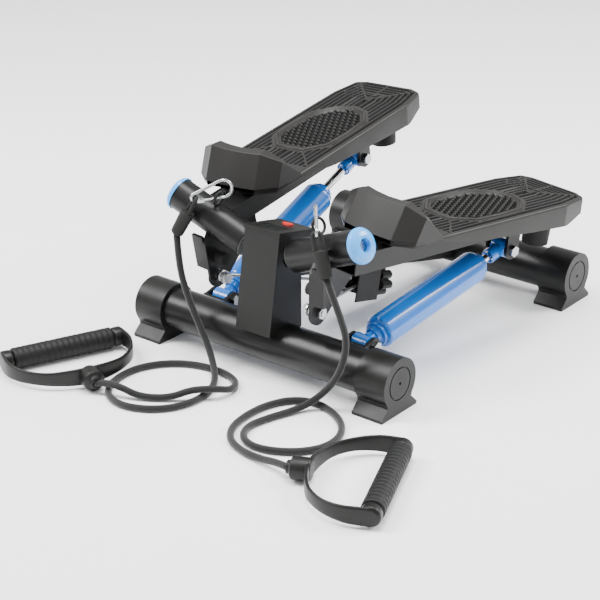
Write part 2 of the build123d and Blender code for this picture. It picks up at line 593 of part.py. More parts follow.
def build_snap_hook(side):
    """Pear-shaped snap hook on the ring of one swing tube."""
    top = RING.from_local_coords(Vector(RING_RADIUS, 0, 0))
    hook = Plane(origin=top, x_dir=HOOK_DIR, z_dir=HOOK_DIR.cross(Vector(0, 0, 1)))
    centre = hook.from_local_coords(Vector(-3, 2.5, 0))
    hook = Plane(origin=centre, x_dir=HOOK_DIR, z_dir=hook.z_dir)
    lean = math.asin((HOOK_WIDE - HOOK_NARROW) / HOOK_SPAN)
    sin, cos = math.sin(lean), math.cos(lean)

    def point(x, radius, sign):
        return Vector(x + radius * sin, sign * radius * cos, 0)

    wide = [point(0, HOOK_WIDE, s) for s in (1, -1)]
    narrow = [point(HOOK_SPAN, HOOK_NARROW, s) for s in (1, -1)]
    run = narrow[1] - wide[1]
    along = run.normalized()
    latch, hinge_end = wide[1] + along * 3, wide[1] + along * (run.length - 5)
    pivot = wide[1] + along * (run.length - 7.4)
    wire = Wire([
        Line(latch, wide[1]).edge(),
        ThreePointArc(wide[1], (-HOOK_WIDE, 0, 0), wide[0]).edge(),
        Line(wide[0], narrow[0]).edge(),
        ThreePointArc(narrow[0], (HOOK_SPAN + HOOK_NARROW, 0, 0), narrow[1]).edge(),
        Line(narrow[1], hinge_end).edge(),
    ])
    body = sweep(Plane(origin=latch, z_dir=-along) * Circle(HOOK_WIRE), path=wire)
    ear = Plane(origin=pivot, x_dir=along, z_dir=(0, 0, 1))
    for sign in (1, -1):
        z0, z1 = sorted((sign * 1.97, sign * 3.1))
        body = body + ear.location * block(-2, 5.5, -1.8, 1.8, z0, z1)
    body = body + ear.location * rod((0, 0, -3.1), (0, 0, 3.1), 0.8)
    gate = rod(latch + along * 0.4, pivot, GATE_WIRE) + Pos(pivot) * Sphere(GATE_WIRE + 0.2)
    gate = gate - ear.location * rod((0, 0, -3), (0, 0, 3), 0.8 + RUNNING)
    name = "right" if side > 0 else "left"
    for part, shape in (("carabiner", body), ("gate", gate)):
        placed = hook.location * shape
        keep(f"{name}_{part}", placed if side > 0 else mirrored(placed))
    print(name, "gate pivot", hook.from_local_coords(pivot), "axis", hook.z_dir)

    # the cord's end loop hangs on the narrow end, where the arc faces the pull
    lean = math.atan2(-HANG_DIR.dot(hook.y_dir), HANG_DIR.dot(hook.x_dir))
    seat = Vector(HOOK_SPAN + HOOK_NARROW * math.cos(lean), -HOOK_NARROW * math.sin(lean), 0)
    across = (hook.z_dir - HANG_DIR * hook.z_dir.dot(HANG_DIR)).normalized()
    return hook.from_local_coords(seat), across


def build_cord(side, seat, across):
    """End loop and sleeve on the snap hook, and the elastic cord below them."""
    name = "right" if side > 0 else "left"
    top = seat + HANG_DIR * LOOP_LEG
    bottom = top + HANG_DIR * SLEEVE_LENGTH
    ends = [seat + across * (s * LOOP_BEND) for s in (1, -1)]
    turn = ThreePointArc(ends[0], seat - HANG_DIR * LOOP_BEND, ends[1])
    loop = sweep(Plane(origin=ends[0], z_dir=turn % 0) * Circle(LOOP_RADIUS), path=turn)
    for end in ends:
        loop = loop + rod(end, end + HANG_DIR * (LOOP_LEG + 3), LOOP_RADIUS)
    line = Plane(origin=bottom, z_dir=-HANG_DIR)
    profile = make_face(Polyline((0, 0), (7, 0), (8, 1.2), (9, 29), (9, 32), (8.2, 33), (0, 33), close=True))
    sleeve = loop + line.location * revolve(Plane.XZ * profile, axis=Axis.Z)
    if side < 0:
        sleeve = mirrored(sleeve)
    start = (side * bottom.X, bottom.Y, bottom.Z)
    print(name, "cord start", start, "sleeve top", top)
    cord = tube_along([start] + (RIGHT_CORD if side > 0 else LEFT_CORD), CORD_RADIUS)
    keep(f"{name}_cord", cord)
    keep(f"{name}_cord_sleeve", sleeve - cord)
    return cord


def build_handle(side, cord):
    """Pull handle lying on the floor: hub, strap and a turning grip."""
    name, frame = ("right", RIGHT_HANDLE) if side > 0 else ("left", LEFT_HANDLE)
    hub = rod((-13, 0, 0), (12, 0, 0), HUB_RADIUS) + rod((-17, 0, 0), (-12, 0, 0), 8)
    hub = hub - rod((-18, 0, 0), (-12, 0, 0), CORD_RADIUS + 0.05)
    half = [(5, 10), (14, 40), (38, 70), (70, 81), (GRIP_REACH, 79)]
    strap = None
    for sign in (1, -1):
        previous = None
        for a, b in half:
            post = Pos(a, sign * b, 0) * Cylinder(STRAP_THICKNESS / 2, STRAP_WIDTH)
            strap = post if strap is None else strap + post
            if previous:
                run = math.hypot(a - previous[0], b - previous[1])
                angle = math.degrees(math.atan2(sign * (b - previous[1]), a - previous[0]))
                middle = ((a + previous[0]) / 2, sign * (b + previous[1]) / 2)
                strap = strap + Pos(*middle, 0) * Rot(0, 0, angle) * Box(run, STRAP_THICKNESS, STRAP_WIDTH)
            previous = (a, b)
    cheeks = rod((GRIP_REACH, -79, 0), (GRIP_REACH, -GRIP_HALF - 2, 0), 11.5)
    cheeks = cheeks + rod((GRIP_REACH, GRIP_HALF + 2, 0), (GRIP_REACH, 79, 0), 11.5)
    core = rod((GRIP_REACH, -79, 0), (GRIP_REACH, 79, 0), 7)
    keep(f"{name}_handle", frame.location * (hub + strap + cheeks + core) - cord)
    grip = rod((GRIP_REACH, -GRIP_HALF, 0), (GRIP_REACH, GRIP_HALF, 0), GRIP_RADIUS)
    grip = grip - rod((GRIP_REACH, -GRIP_HALF, 0), (GRIP_REACH, GRIP_HALF, 0), 7 + 0.08)
    keep(f"{name}_grip", frame.location * grip)


PULLEY_PIN = 3.0
ROPE_COIL = 11.6
ROPE_EYE_X = 76.0
KNOB_LOBES = 7
SCREW_RADIUS = 2.5
BOSSES = [(u, w) for w in (110, 195, 275, 350) for u in (-16, 16)]
RING_RADIUS = 9.8
RING_WIRE = 1.8
GATE_WIRE = 1.5
ring_up = (SWING.z_dir * math.sin(math.radians(78)) - SWING.y_dir * math.cos(math.radians(78))).normalized()
RING = Plane(origin=TUBE_END - OUTWARD * 54 + ring_up * 32.2, x_dir=ring_up, z_dir=OUTWARD)
HOOK_DIR = Vector(0.62, -0.745, -0.25).normalized()
HOOK_WIDE = 11.0
HOOK_NARROW = 5.0
HOOK_SPAN = 35.0
HOOK_WIRE = 2.1
LOOP_RADIUS = 2.6
LOOP_BEND = 5.2
LOOP_LEG = 17.0
HANG_DIR = Vector(0.43, -0.19, -0.88).normalized()
SLEEVE_LENGTH = 33.0
STRAP_THICKNESS = 3.6
STRAP_WIDTH = 24.0


def handle_frame(x, y, yaw):
    turn = math.radians(yaw)
    return Plane(origin=(x, y, HANDLE_HEIGHT), x_dir=(math.cos(turn), math.sin(turn), 0), z_dir=(0, 0, 1))


RIGHT_HANDLE = handle_frame(205, -400, 22.5)
LEFT_HANDLE = handle_frame(-133, -384, 156.8)

# routes of the cords, from the sleeve down to the floor and round to the handle
LAY = CORD_RADIUS + 0.15
RIGHT_CORD = [
    (133, -241, 128), (149, -243, 94), (143, -247, 57),
    (126, -249, 28), (108, -263, 8), (98, -288, LAY), (88, -316, LAY),
    (82, -345, LAY), (92, -368, LAY), (114, -380, LAY), (141, -375, LAY),
    (168, -357, LAY), (184, -331, LAY), (183, -301, LAY), (166, -274, LAY),
    (138, -256, LAY), (106, -249, LAY), (80, -262, LAY), (66, -290, LAY),
    (63, -325, LAY), (69, -360, LAY), (88, -385, LAY), (116, -396, LAY),
    (146, -399, 6), (171, -402, 12), (191.5, -405.5, 14),
]
LEFT_CORD = [
    (-114, -243, 124), (-99, -245, 86), (-80, -247, 55),
    (-62, -250, 30), (-42, -262, 11), (-22, -283, LAY), (-10, -310, LAY),
    (-8, -340, LAY), (-18, -368, LAY), (-40, -389, LAY), (-68, -399, LAY),
    (-96, -393, LAY), (-116, -373, LAY), (-125, -345, LAY), (-124, -315, LAY),
    (-110, -287, LAY), (-86, -267, LAY), (-56, -257, LAY), (-26, -257, LAY),
    (-1, -267, LAY), (10, -289, 6), (4, -313, 14.7), (-17, -331, 14.7),
    (-34, -347, 6), (-51, -360, LAY), (-70, -371, 6), (-89, -379, 14.7),
    (-108, -384, 16.5), (-120.5, -389.3, 14),
]


def main():
    build_frame()
    build_post_cover()
    build_lower_clevises()
    build_adjuster()
    build_pull_rope()
    build_swing()
    for side in (1, -1):
        build_damper(side)
        seat, across = build_snap_hook(side)
        cord = build_cord(side, seat, across)
        build_handle(side, cord)


if __name__ == "__main__":
    main()
    os.makedirs("parts", exist_ok=True)
    for name, shape in PARTS.items():
        export_step(shape, f"parts/{name}.step")
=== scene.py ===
import math

import bmesh
import bpy
from mathutils import Matrix, Vector


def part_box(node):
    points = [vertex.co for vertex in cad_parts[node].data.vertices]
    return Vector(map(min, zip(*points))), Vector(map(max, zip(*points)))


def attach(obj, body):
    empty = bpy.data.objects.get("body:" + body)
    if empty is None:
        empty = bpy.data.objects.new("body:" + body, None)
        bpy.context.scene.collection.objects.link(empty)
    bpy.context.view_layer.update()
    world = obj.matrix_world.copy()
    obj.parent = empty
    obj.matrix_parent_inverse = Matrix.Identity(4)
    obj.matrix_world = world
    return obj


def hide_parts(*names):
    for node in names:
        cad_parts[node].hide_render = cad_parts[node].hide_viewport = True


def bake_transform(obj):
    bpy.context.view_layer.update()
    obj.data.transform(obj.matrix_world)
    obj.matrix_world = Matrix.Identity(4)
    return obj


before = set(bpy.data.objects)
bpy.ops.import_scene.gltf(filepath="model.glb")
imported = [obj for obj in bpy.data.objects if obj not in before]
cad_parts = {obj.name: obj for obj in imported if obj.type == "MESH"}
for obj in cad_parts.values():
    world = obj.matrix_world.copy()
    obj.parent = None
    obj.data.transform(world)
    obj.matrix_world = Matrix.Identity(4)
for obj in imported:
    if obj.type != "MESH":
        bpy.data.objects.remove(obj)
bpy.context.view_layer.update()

bl_info = {
    "name": "Mini twist stepper",
    "version": (1, 0, 0),
    "blender": (4, 5, 0),
    "location": "View3D > Sidebar > Stepper",
    "description": "Detailed treads, dampers, cords, handles and finishes for a mini twist stepper",
    "category": "Object",
}

MM = 0.001


# ---------------------------------------------------------------------------
# frames of the two swinging halves, as in the solid model
# ---------------------------------------------------------------------------
def swing_frames():
    """Matrix of the right pedal's own frame, the swing axis and the outer end of its tube."""
    yaw, rise = math.radians(-4.9), math.radians(22.3)
    out = Vector((math.cos(rise) * math.cos(yaw), math.cos(rise) * math.sin(yaw), math.sin(rise)))
    end = Vector((0, -0.196, 0.143)) + out * 0.1508
    rear = Matrix.Rotation(math.radians(-5.9), 3, out) @ Vector((-math.sin(yaw), math.cos(yaw), 0))
    up = out.cross(rear)
    tilt = math.radians(24.4)
    across = out * math.cos(tilt) - up * math.sin(tilt)
    normal = out * math.sin(tilt) + up * math.cos(tilt)
    pedal = Matrix((across, rear, normal)).transposed().to_4x4()
    pedal.translation = end - out * 0.0408
    return pedal, out, end


PEDAL, OUT, TUBE_END = swing_frames()
LIFT = Matrix.Translation(TUBE_END) @ Matrix.Rotation(math.radians(13), 4, OUT) @ Matrix.Translation(-TUBE_END)
MIRROR = Matrix.Diagonal((-1, 1, 1, 1))
SIDES = {"right": Matrix.Identity(4), "left": MIRROR @ LIFT}
PLAIN_SIDES = {"right": Matrix.Identity(4), "left": MIRROR}


# ---------------------------------------------------------------------------
# sizes and colours
# ---------------------------------------------------------------------------
def length(name, description, default, low=0.0, high=1.0):
    return bpy.props.FloatProperty(name=name, description=description, default=default, min=low, max=high,
                                   unit="LENGTH", subtype="DISTANCE")


def colour(name, description, value):
    return bpy.props.FloatVectorProperty(name=name, description=description, default=linear(value), size=3,
                                         min=0.0, max=1.0, subtype="COLOR")


def linear(hex_code):
    """sRGB hex code to the linear values a shader takes."""
    channels = [int(hex_code[i:i + 2], 16) / 255 for i in (0, 2, 4)]
    return tuple(c / 12.92 if c <= 0.04045 else ((c + 0.055) / 1.055) ** 2.4 for c in channels)


class StepperColours(bpy.types.PropertyGroup):
    """Colours of the finishes"""
    steel: colour("Frame steel", "Satin powder coat on the frame", "101010")
    plastic: colour("Tread plastic", "Moulded plastic of the treads", "1E1D1C")
    cover: colour("Cover plastic", "Moulded plastic of the post, feet and handles", "131312")
    damper: colour("Damper blue", "Lacquer on the dampers", "1273D2")
    cap: colour("Cap blue", "Plastic of the end caps", "3B9BEA")
    zinc: colour("Zinc", "Plated bolts and snap hooks", "B4B6B8")
    rubber: colour("Rubber", "Bumpers", "1A1A19")
    cord: colour("Cord", "Woven cover of the cords", "121212")
    button: colour("Button", "Push button on the console", "D22A20")
    floor: colour("Floor", "Studio floor", "FAFAFA")


class TreadSizes(bpy.types.PropertyGroup):
    """Sizes of the moulded treads"""
    rib_pitch: length("Rib pitch", "Distance between two contour ribs", 0.0074, 0.004, 0.01)
    rib_depth: length("Rib depth", "Depth of the grooves between the ribs", 0.0036, 0.0005, 0.005)
    rib_width: length("Rib width", "Width of a rib at its top", 0.0027, 0.001, 0.004)
    nub_radius: length("Nub radius", "Radius of a massage nub", 0.0028, 0.001, 0.004)
    nub_height: length("Nub height", "Height of a massage nub", 0.0052, 0.001, 0.008)


class CordSizes(bpy.types.PropertyGroup):
    """Sizes of the elastic cords and their handles"""
    radius: length("Cord radius", "Radius of the elastic cord", 0.00425, 0.003, 0.006)
    grip_radius: length("Grip radius", "Radius of a handle's grip", 0.0135, 0.01, 0.016)


# ---------------------------------------------------------------------------
# small builders
# ---------------------------------------------------------------------------
def new_object(name, points, faces, matrix, body, material):
    """Smooth mesh in the model's frame, which rides on a body if it is given one."""
    mesh = bpy.data.meshes.new(name)
    mesh.from_pydata([tuple(matrix @ Vector(p)) for p in points], [], faces)
    work = bmesh.new()
    work.from_mesh(mesh)
    bmesh.ops.remove_doubles(work, verts=work.verts, dist=1e-6)
    bmesh.ops.recalc_face_normals(work, faces=work.faces)
    work.to_mesh(mesh)
    work.free()
    obj = bpy.data.objects.new(name, mesh)
    bpy.context.scene.collection.objects.link(obj)
    mesh.materials.append(bpy.data.materials[material])
    mesh.shade_smooth()
    if body:
        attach(obj, body)
    return obj


def soften(obj, width, segments=2, angle=30):
    """Rounded edges with clean shading."""
    bevel = obj.modifiers.new("Edges", "BEVEL")
    bevel.width = width
    bevel.segments = segments
    bevel.limit_method = "ANGLE"
    bevel.angle_limit = math.radians(angle)
    bevel.harden_normals = True
    return obj


def lofted(rows, closed=False, caps=False):
    """Points and faces of a skin over rows of equally many points."""
    count = len(rows[0])
    points = [p for row in rows for p in row]
    faces = []
    last = count if closed else count - 1
    for i in range(len(rows) - 1):
        for j in range(last):
            a, b = i * count + j, i * count + (j + 1) % count
            faces.append((a, b, b + count, a + count))
    if caps:
        faces.append(tuple(range(count)))
        faces.append(tuple(reversed(range((len(rows) - 1) * count, len(rows) * count))))
    return points, faces


def joined(parts):
    """Several skins as one list of points and faces."""
    points, faces = [], []
    for more, more_faces, matrix in parts:
        base = len(points)
        points.extend(tuple(matrix @ Vector(p)) for p in more)
        faces.extend(tuple(i + base for i in f) for f in more_faces)
    return points, faces


def turned(profile, segments=48):
    """Points and faces of a shape turned round local Z from (radius, height) pairs."""
    rows = []
    for i in range(segments):
        a = 2 * math.pi * i / segments
        rows.append([(r * math.cos(a), r * math.sin(a), z) for r, z in profile])
    rows.append(rows[0])
    return lofted(rows)


def axis_frame(origin, along, across=(1, 0, 0)):
    """Matrix whose Z runs along a direction."""
    z = Vector(along).normalized()
    x = Vector(across) - z * z.dot(Vector(across))
    x.normalize()
    matrix = Matrix((x, z.cross(x), z)).transposed().to_4x4()
    matrix.translation = Vector(origin)
    return matrix


def rounded(profile, radius, steps=4):
    """Profile of (radius, height) pairs with its inner corners rounded."""
    out = [Vector(profile[0])]
    for before, corner, after in zip(profile, profile[1:], profile[2:]):
        corner, a, b = Vector(corner), Vector(before), Vector(after)
        reach = min(radius, (a - corner).length * 0.45, (b - corner).length * 0.45)
        start = corner + (a - corner).normalized() * reach
        end = corner + (b - corner).normalized() * reach
        for i in range(steps + 1):
            t = i / steps
            out.append(start * (1 - t) ** 2 + corner * 2 * t * (1 - t) + end * t ** 2)
    out.append(Vector(profile[-1]))
    return [tuple(p) for p in out]


# ---------------------------------------------------------------------------
# materials
# ---------------------------------------------------------------------------
def add_node(tree, kind, links=(), **settings):
    """Adds a node, sets its inputs and joins (input name, from socket) pairs."""
    node = tree.nodes.new(kind)
    for key, value in settings.items():
        if hasattr(node, key):
            setattr(node, key, value)
        else:
            node.inputs[key.replace("_", " ")].default_value = value
    for socket, source in links:
        tree.links.new(source, node.inputs[socket])
    return node


def make_material(name, rgb, roughness, metallic=0.0, grain_mm=0.0, bump=0.0, spread=0.0, coat=0.0, tint=0.0,
                  stretch=None):
    """Material with fine grain in bump, roughness and tone, its scale in millimetres."""
    material = bpy.data.materials.get(name) or bpy.data.materials.new(name)
    material.use_nodes = True
    tree = material.node_tree
    shader = next(n for n in tree.nodes if n.type == "BSDF_PRINCIPLED")
    shader.inputs["Metallic"].default_value = metallic
    if not metallic and not coat:
        # dull black surfaces reflect little at the angles that a person sees them from
        shader.inputs["Specular IOR Level"].default_value = 0.26
    if coat:
        shader.inputs["Coat Weight"].default_value = coat
        shader.inputs["Coat Roughness"].default_value = 0.08
    place = add_node(tree, "ShaderNodeTexCoord")
    source = place.outputs["Object"]
    if stretch:
        source = add_node(tree, "ShaderNodeMapping", [("Vector", source)], Scale=stretch).outputs["Vector"]
    scale = 1.0 / (max(grain_mm, 0.05) * MM)
    noise = add_node(tree, "ShaderNodeTexNoise", [("Vector", source)], Scale=scale, Detail=3.0)
    tone = add_node(tree, "ShaderNodeTexNoise", [("Vector", place.outputs["Object"])], Scale=22.0, Detail=4.0)
    dark = add_node(tree, "ShaderNodeMix", [("Factor", tone.outputs["Fac"])], data_type="RGBA")
    dark.inputs[6].default_value = (*[c * (1 - tint) for c in rgb], 1)
    dark.inputs[7].default_value = (*[min(1, c * (1 + tint)) for c in rgb], 1)
    tree.links.new(dark.outputs[2], shader.inputs["Base Color"])
    rough = add_node(tree, "ShaderNodeMapRange", [("Value", tone.outputs["Fac"])])
    rough.inputs["From Min"].default_value = 0.3
    rough.inputs["From Max"].default_value = 0.7
    rough.inputs["To Min"].default_value = max(0.02, roughness - spread)
    rough.inputs["To Max"].default_value = min(1, roughness + spread)
    tree.links.new(rough.outputs["Result"], shader.inputs["Roughness"])
    if bump:
        relief = add_node(tree, "ShaderNodeBump", [("Height", noise.outputs["Fac"])], Strength=bump)
        relief.inputs["Distance"].default_value = grain_mm * MM * 0.4
        tree.links.new(relief.outputs["Normal"], shader.inputs["Normal"])
    return material


def make_cord_material(name, rgb):
    """Woven cover: crossing diagonal yarns about a millimetre wide."""
    material = make_material(name, rgb, 0.72, grain_mm=0.5, bump=0.3, spread=0.08, tint=0.25)
    tree = material.node_tree
    shader = next(n for n in tree.nodes if n.type == "BSDF_PRINCIPLED")
    shader.inputs["Sheen Weight"].default_value = 0.25
    place = next(n for n in tree.nodes if n.type == "TEX_COORD")
    waves = []
    for turn in (0.8, -0.8):
        turned_place = add_node(tree, "ShaderNodeMapping", [("Vector", place.outputs["Object"])],
                                Rotation=(turn, turn, turn))
        waves.append(add_node(tree, "ShaderNodeTexWave", [("Vector", turned_place.outputs["Vector"])],
                              Scale=160.0, Distortion=0.4))
    both = add_node(tree, "ShaderNodeMath", [(0, waves[0].outputs["Fac"]), (1, waves[1].outputs["Fac"])],
                    operation="MAXIMUM")
    relief = add_node(tree, "ShaderNodeBump", [("Height", both.outputs["Value"])], Strength=0.6)
    relief.inputs["Distance"].default_value = 0.4 * MM
    tree.links.new(relief.outputs["Normal"], shader.inputs["Normal"])
    return material


def all_materials(c):
    """Every finish of the machine, named for what it is."""
    # satin powder coat: a faint orange peel about 1 mm across
    make_material("black_powder_coat", c.steel, 0.33, grain_mm=1.1, bump=0.10, spread=0.05, tint=0.12)
    # injection moulded tread: spark-eroded texture under half a millimetre
    make_material("tread_plastic", c.plastic, 0.42, grain_mm=0.45, bump=0.16, spread=0.06, tint=0.10)
    # painted shade: the tread plastic made rough and darkened to about a tenth in the grooves and on the pad's
    # floor, standing in for the shade between the ribs and nubs
    shade = tuple(v * 0.12 for v in c.plastic)
    make_material("tread_groove_painted_shade", shade, 0.85, grain_mm=0.6, bump=0.12, spread=0.05, tint=0.2)
    # smoother moulded plastic of the post cover, feet, knob and handles
    make_material("moulded_plastic", c.cover, 0.40, grain_mm=0.5, bump=0.12, spread=0.06, tint=0.12)
    # glossy lacquer on the dampers
    make_material("blue_lacquer", c.damper, 0.22, grain_mm=2.0, bump=0.02, spread=0.05, coat=0.7, tint=0.06)
    # light blue polished plastic
    make_material("blue_plastic", c.cap, 0.26, grain_mm=1.5, bump=0.02, spread=0.05, coat=0.3, tint=0.05)
    # bright zinc plating with a faint grain
    make_material("bright_zinc", c.zinc, 0.24, metallic=1.0, grain_mm=0.6, bump=0.04, spread=0.08, tint=0.10)
    # hard chrome on the damper rods
    make_material("hard_chrome", (0.80, 0.81, 0.82), 0.08, metallic=1.0, grain_mm=0.4, bump=0.01, spread=0.03,
                  tint=0.03)
    # moulded rubber: dull and slightly dusty
    make_material("moulded_rubber", c.rubber, 0.66, grain_mm=0.7, bump=0.14, spread=0.08, tint=0.20)
    # foam rubber sleeve on the grips: small open pores
    make_material("foam_rubber", c.cord, 0.62, grain_mm=0.9, bump=0.22, spread=0.08, tint=0.15)
    # dark nylon bushes
    make_material("nylon", (0.05, 0.05, 0.05), 0.45, grain_mm=0.8, bump=0.04, spread=0.05, tint=0.05)
    # dark display window
    make_material("display_window", (0.012, 0.014, 0.013), 0.12, grain_mm=2.0, bump=0.0, spread=0.03, coat=0.4,
                  tint=0.05)
    # red push button
    make_material("red_button", c.button, 0.25, grain_mm=1.0, bump=0.02, spread=0.05, coat=0.4, tint=0.06)
    # green circuit board under the lid
    make_material("circuit_board", (0.02, 0.12, 0.05), 0.4, grain_mm=0.8, bump=0.05, spread=0.05, tint=0.2)
    # stranded wire rope: the strands show as a diagonal grain
    make_material("wire_rope", (0.42, 0.43, 0.44), 0.34, metallic=1.0, grain_mm=0.8, bump=0.5, spread=0.1,
                  tint=0.25)
    make_cord_material("woven_cord", c.cord)
    # studio floor, matt and even
    make_material("studio_floor", c.floor, 0.85, grain_mm=3.0, bump=0.0, spread=0.04, tint=0.01)


FINISHES = {
    "front_crossbar": "black_powder_coat", "rear_crossbar": "black_powder_coat",
    "front_foot_caps": "moulded_plastic", "rear_foot_caps": "moulded_plastic",
    "spine_tube": "black_powder_coat", "post_core": "black_powder_coat", "post_shroud": "moulded_plastic",
    "console_lid": "moulded_plastic", "console_display": "display_window", "console_board": "circuit_board",
    "axles": "bright_zinc", "axle_fasteners": "bright_zinc", "lower_clevises": "black_powder_coat",
    "lower_clevis_bolts": "bright_zinc", "adjuster_channel": "black_powder_coat", "pull_rope": "wire_rope",
    "console_button": "red_button", "adjuster_knob": "moulded_plastic", "adjuster_screw": "bright_zinc",
    "pulley_carriage": "bright_zinc", "pulley": "moulded_plastic", "pulley_pin": "bright_zinc",
}
SIDE_FINISHES = {
    "swing_tube": "black_powder_coat", "pedal_arm": "black_powder_coat", "pedal": "tread_plastic",
    "massage_insert": "tread_plastic", "bumpers": "moulded_rubber", "upper_clevis": "black_powder_coat",
    "lever_plate": "black_powder_coat", "fasteners": "bright_zinc", "end_cap": "blue_plastic", "bushes": "nylon",
    "cord_eye": "black_powder_coat", "damper_cylinder": "blue_lacquer", "damper_rod": "hard_chrome",
    "carabiner": "bright_zinc", "gate": "bright_zinc", "cord_sleeve": "moulded_rubber", "cord": "woven_cord",
    "handle": "moulded_plastic", "grip": "foam_rubber",
}


def finish_nodes():
    """Gives every node of the frame its finish."""
    table = dict(FINISHES)
    for side in SIDES:
        table.update({f"{side}_{part}": name for part, name in SIDE_FINISHES.items()})
    for node, finish in table.items():
        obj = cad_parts[node]
        material = bpy.data.materials[finish]
        if not obj.material_slots:
            obj.data.materials.append(material)
        for slot in obj.material_slots:
            slot.material = material


# ---------------------------------------------------------------------------
# treads
# ---------------------------------------------------------------------------
# in millimetres in the pedal's own frame: u across, w towards the heel, n up from the arm
HALF_OUTLINE = [(61.7, 60), (61.7, 364), (53.7, 408), (37.9, 415.2)]
OUTLINE = HALF_OUTLINE + [(-u, w) for u, w in reversed(HALF_OUTLINE)]
TREAD_TOP = 14.6
HEEL = (415.2, -6.4)
LOW_EDGE = [(50, 14.0), (77, 13.4), (117, 7.6), (193, -4.4), (299, -12.4), (373, -16.4), (408, -7.5),
            (416, -6.4)]
PAD = [(21, 176), (43, 204), (45, 250), (43, 292), (24, 319), (0, 328)]
PAD = PAD + [(-u, v) for u, v in PAD[:-1]][::-1]


def between(table, x):
    """Value of a piecewise straight curve."""
    for (x0, y0), (x1, y1) in zip(table, table[1:]):
        if x <= x1:
            t = max(0.0, (x - x0) / (x1 - x0))
            return y0 + (y1 - y0) * t
    return table[-1][1]


def half_width(w):
    if w < 70:
        return 38.7 + 23.0 * (w - 50.7) / 19.3
    if w < 364:
        return 61.7
    if w < 408:
        return 61.7 - 8.0 * (w - 364) / 44
    return 53.7 - 15.8 * (w - 408) / 7.2


def inset_distance(polygon, u, w):
    """Distance inside a convex outline given in turning order."""
    least = 1e9
    for (u0, w0), (u1, w1) in zip(polygon, polygon[1:] + polygon[:1]):
        du, dw = u1 - u0, w1 - w0
        least = min(least, ((u - u0) * -dw + (w - w0) * du) / math.hypot(du, dw))
    return least


def tread_height(u, w, sizes):
    """Height of the tread's upper face in millimetres, with its ribs and pad seat."""
    pitch, depth, width = (v / MM for v in (sizes.rib_pitch, sizes.rib_depth, sizes.rib_width))
    top = TREAD_TOP
    inside_pad = inset_distance(PAD, u, w)
    if inside_pad > 1.0:
        return top - 5.4
    if inside_pad > -3.0:
        return top + 0.4
    edge = inset_distance(OUTLINE, u, w)
    front = w - 134
    if edge < 4.2 or front < 0:
        return top
    phase = (edge - 4.2) % pitch
    groove = min(phase, pitch - phase) - width / 2
    radial = abs(u) if w > 356 else 9.0
    diagonal = abs((w - 365) - (abs(u) - 6) * 1.12) * 0.66 if w > 356 else 9.0
    corner = abs((w - 176) + (abs(u) - 23) * 1.1) * 0.67 if w < 176 and abs(u) > 22 else 9.0
    groove = min(groove, radial - 1.2, diagonal - 1.2, corner - 1.2, front - 2.0, -inside_pad - 4.2)
    return top - depth * max(0.0, min(1.0, groove / 0.55))


def tread_skin(sizes):
    """Upper face, sides and heel of the tread as one skin."""
    rows = []
    # coarse under the toe guard, fine where the ribs are
    stations = [52 + i * 2.0 for i in range(40)] + [132 + i * 0.95 for i in range(298)]
    stations = [w for w in stations if w < 414.6] + [415.2]
    count = 160
    for w in stations:
        half = half_width(w)
        low = between(LOW_EDGE, w)
        row = [(-half, w, low), (-half, w, 10.6), (-half + 0.5, w, 12.8), (-half + 1.8, w, 14.2)]
        for i in range(count + 1):
            u = (half - 3.4) * (2 * i / count - 1)
            row.append((u, w, tread_height(u, w, sizes)))
        row += [(half - 1.8, w, 14.2), (half - 0.5, w, 12.8), (half, w, 10.6), (half, w, low)]
        rows.append(row)
    heel_w, heel_low = HEEL
    heel = [(u, heel_w, max(heel_low, min(n, 12.9))) for u, w, n in rows[-1]]
    rows[-1] = [(u * 0.985, heel_w - 0.3, n - 0.7 if n > 10 else n) for u, w, n in rows[-1]]
    rows.append(heel)
    rows.append([(u, heel_w, heel_low) for u, w, n in heel])
    points, faces = lofted(rows)
    under, under_faces = tread_underside()
    points, faces = joined([(points, faces, Matrix.Identity(4)), (under, under_faces, Matrix.Identity(4))])
    return [tuple(c * MM for c in p) for p in points], faces


def tread_underside():
    """Inner side of the tread's tray, with the lip under its skirt."""
    wall, roof = 2.4, 7.6
    rows = []
    for w in [52, 70, 92, 117, 155, 193, 245, 299, 340, 364, 373, 390, 408, 412.8]:
        half, low = half_width(w), between(LOW_EDGE, w)
        top = min(roof, max(low + 0.3, 11.0)) if w < 117 else roof
        inner = half - wall
        rows.append([(-half, w, low), (-inner, w, low), (-inner, w, top), (inner, w, top), (inner, w, low),
                     (half, w, low)])
    heel_w, heel_low = HEEL
    lip = [(u, heel_w, heel_low) for u, w, n in rows[-1]]
    rows.append([(u, w, heel_low) for u, w, n in rows[-1]])
    rows.append(lip)
    return lofted(rows)


def guard_skin():
    """Toe guard: bowed front, bevelled wings and a broad rim."""
    corners = [
        ((61.7, 120, 8.0), (61.7, 120, 14.7), (57.5, 121, 14.8), (56.5, 122, 13.6)),
        ((61.7, 108, 9.0), (61.7, 110, 22.0), (57.0, 112, 22.4), (55.5, 114, 13.6)),
        ((61.7, 92, 11.0), (61.7, 97, 33.5), (56.2, 101, 34.0), (54.0, 109, 13.6)),
        ((61.7, 70, 13.8), (61.7, 84, 43.6), (54.5, 91, 44.6), (51.0, 106, 13.6)),
        ((38.7, 51.2, 13.8), (38.4, 71, 55.0), (35.5, 86, 55.3), (36.0, 104, 13.6)),
        ((20.0, 49.2, 13.8), (20.0, 69.0, 54.6), (18.0, 83.5, 54.2), (18.0, 101, 13.6)),
    ]
    whole = corners + [((0.0, 48.4, 13.8), (0.0, 68.2, 54.4), (0.0, 82.4, 53.8), (0.0, 100, 13.6))]
    whole += [tuple((-u, w, n) for u, w, n in section) for section in reversed(corners)]
    points, faces = lofted([list(s) for s in whole], closed=True, caps=True)
    return [tuple(c * MM for c in p) for p in points], faces


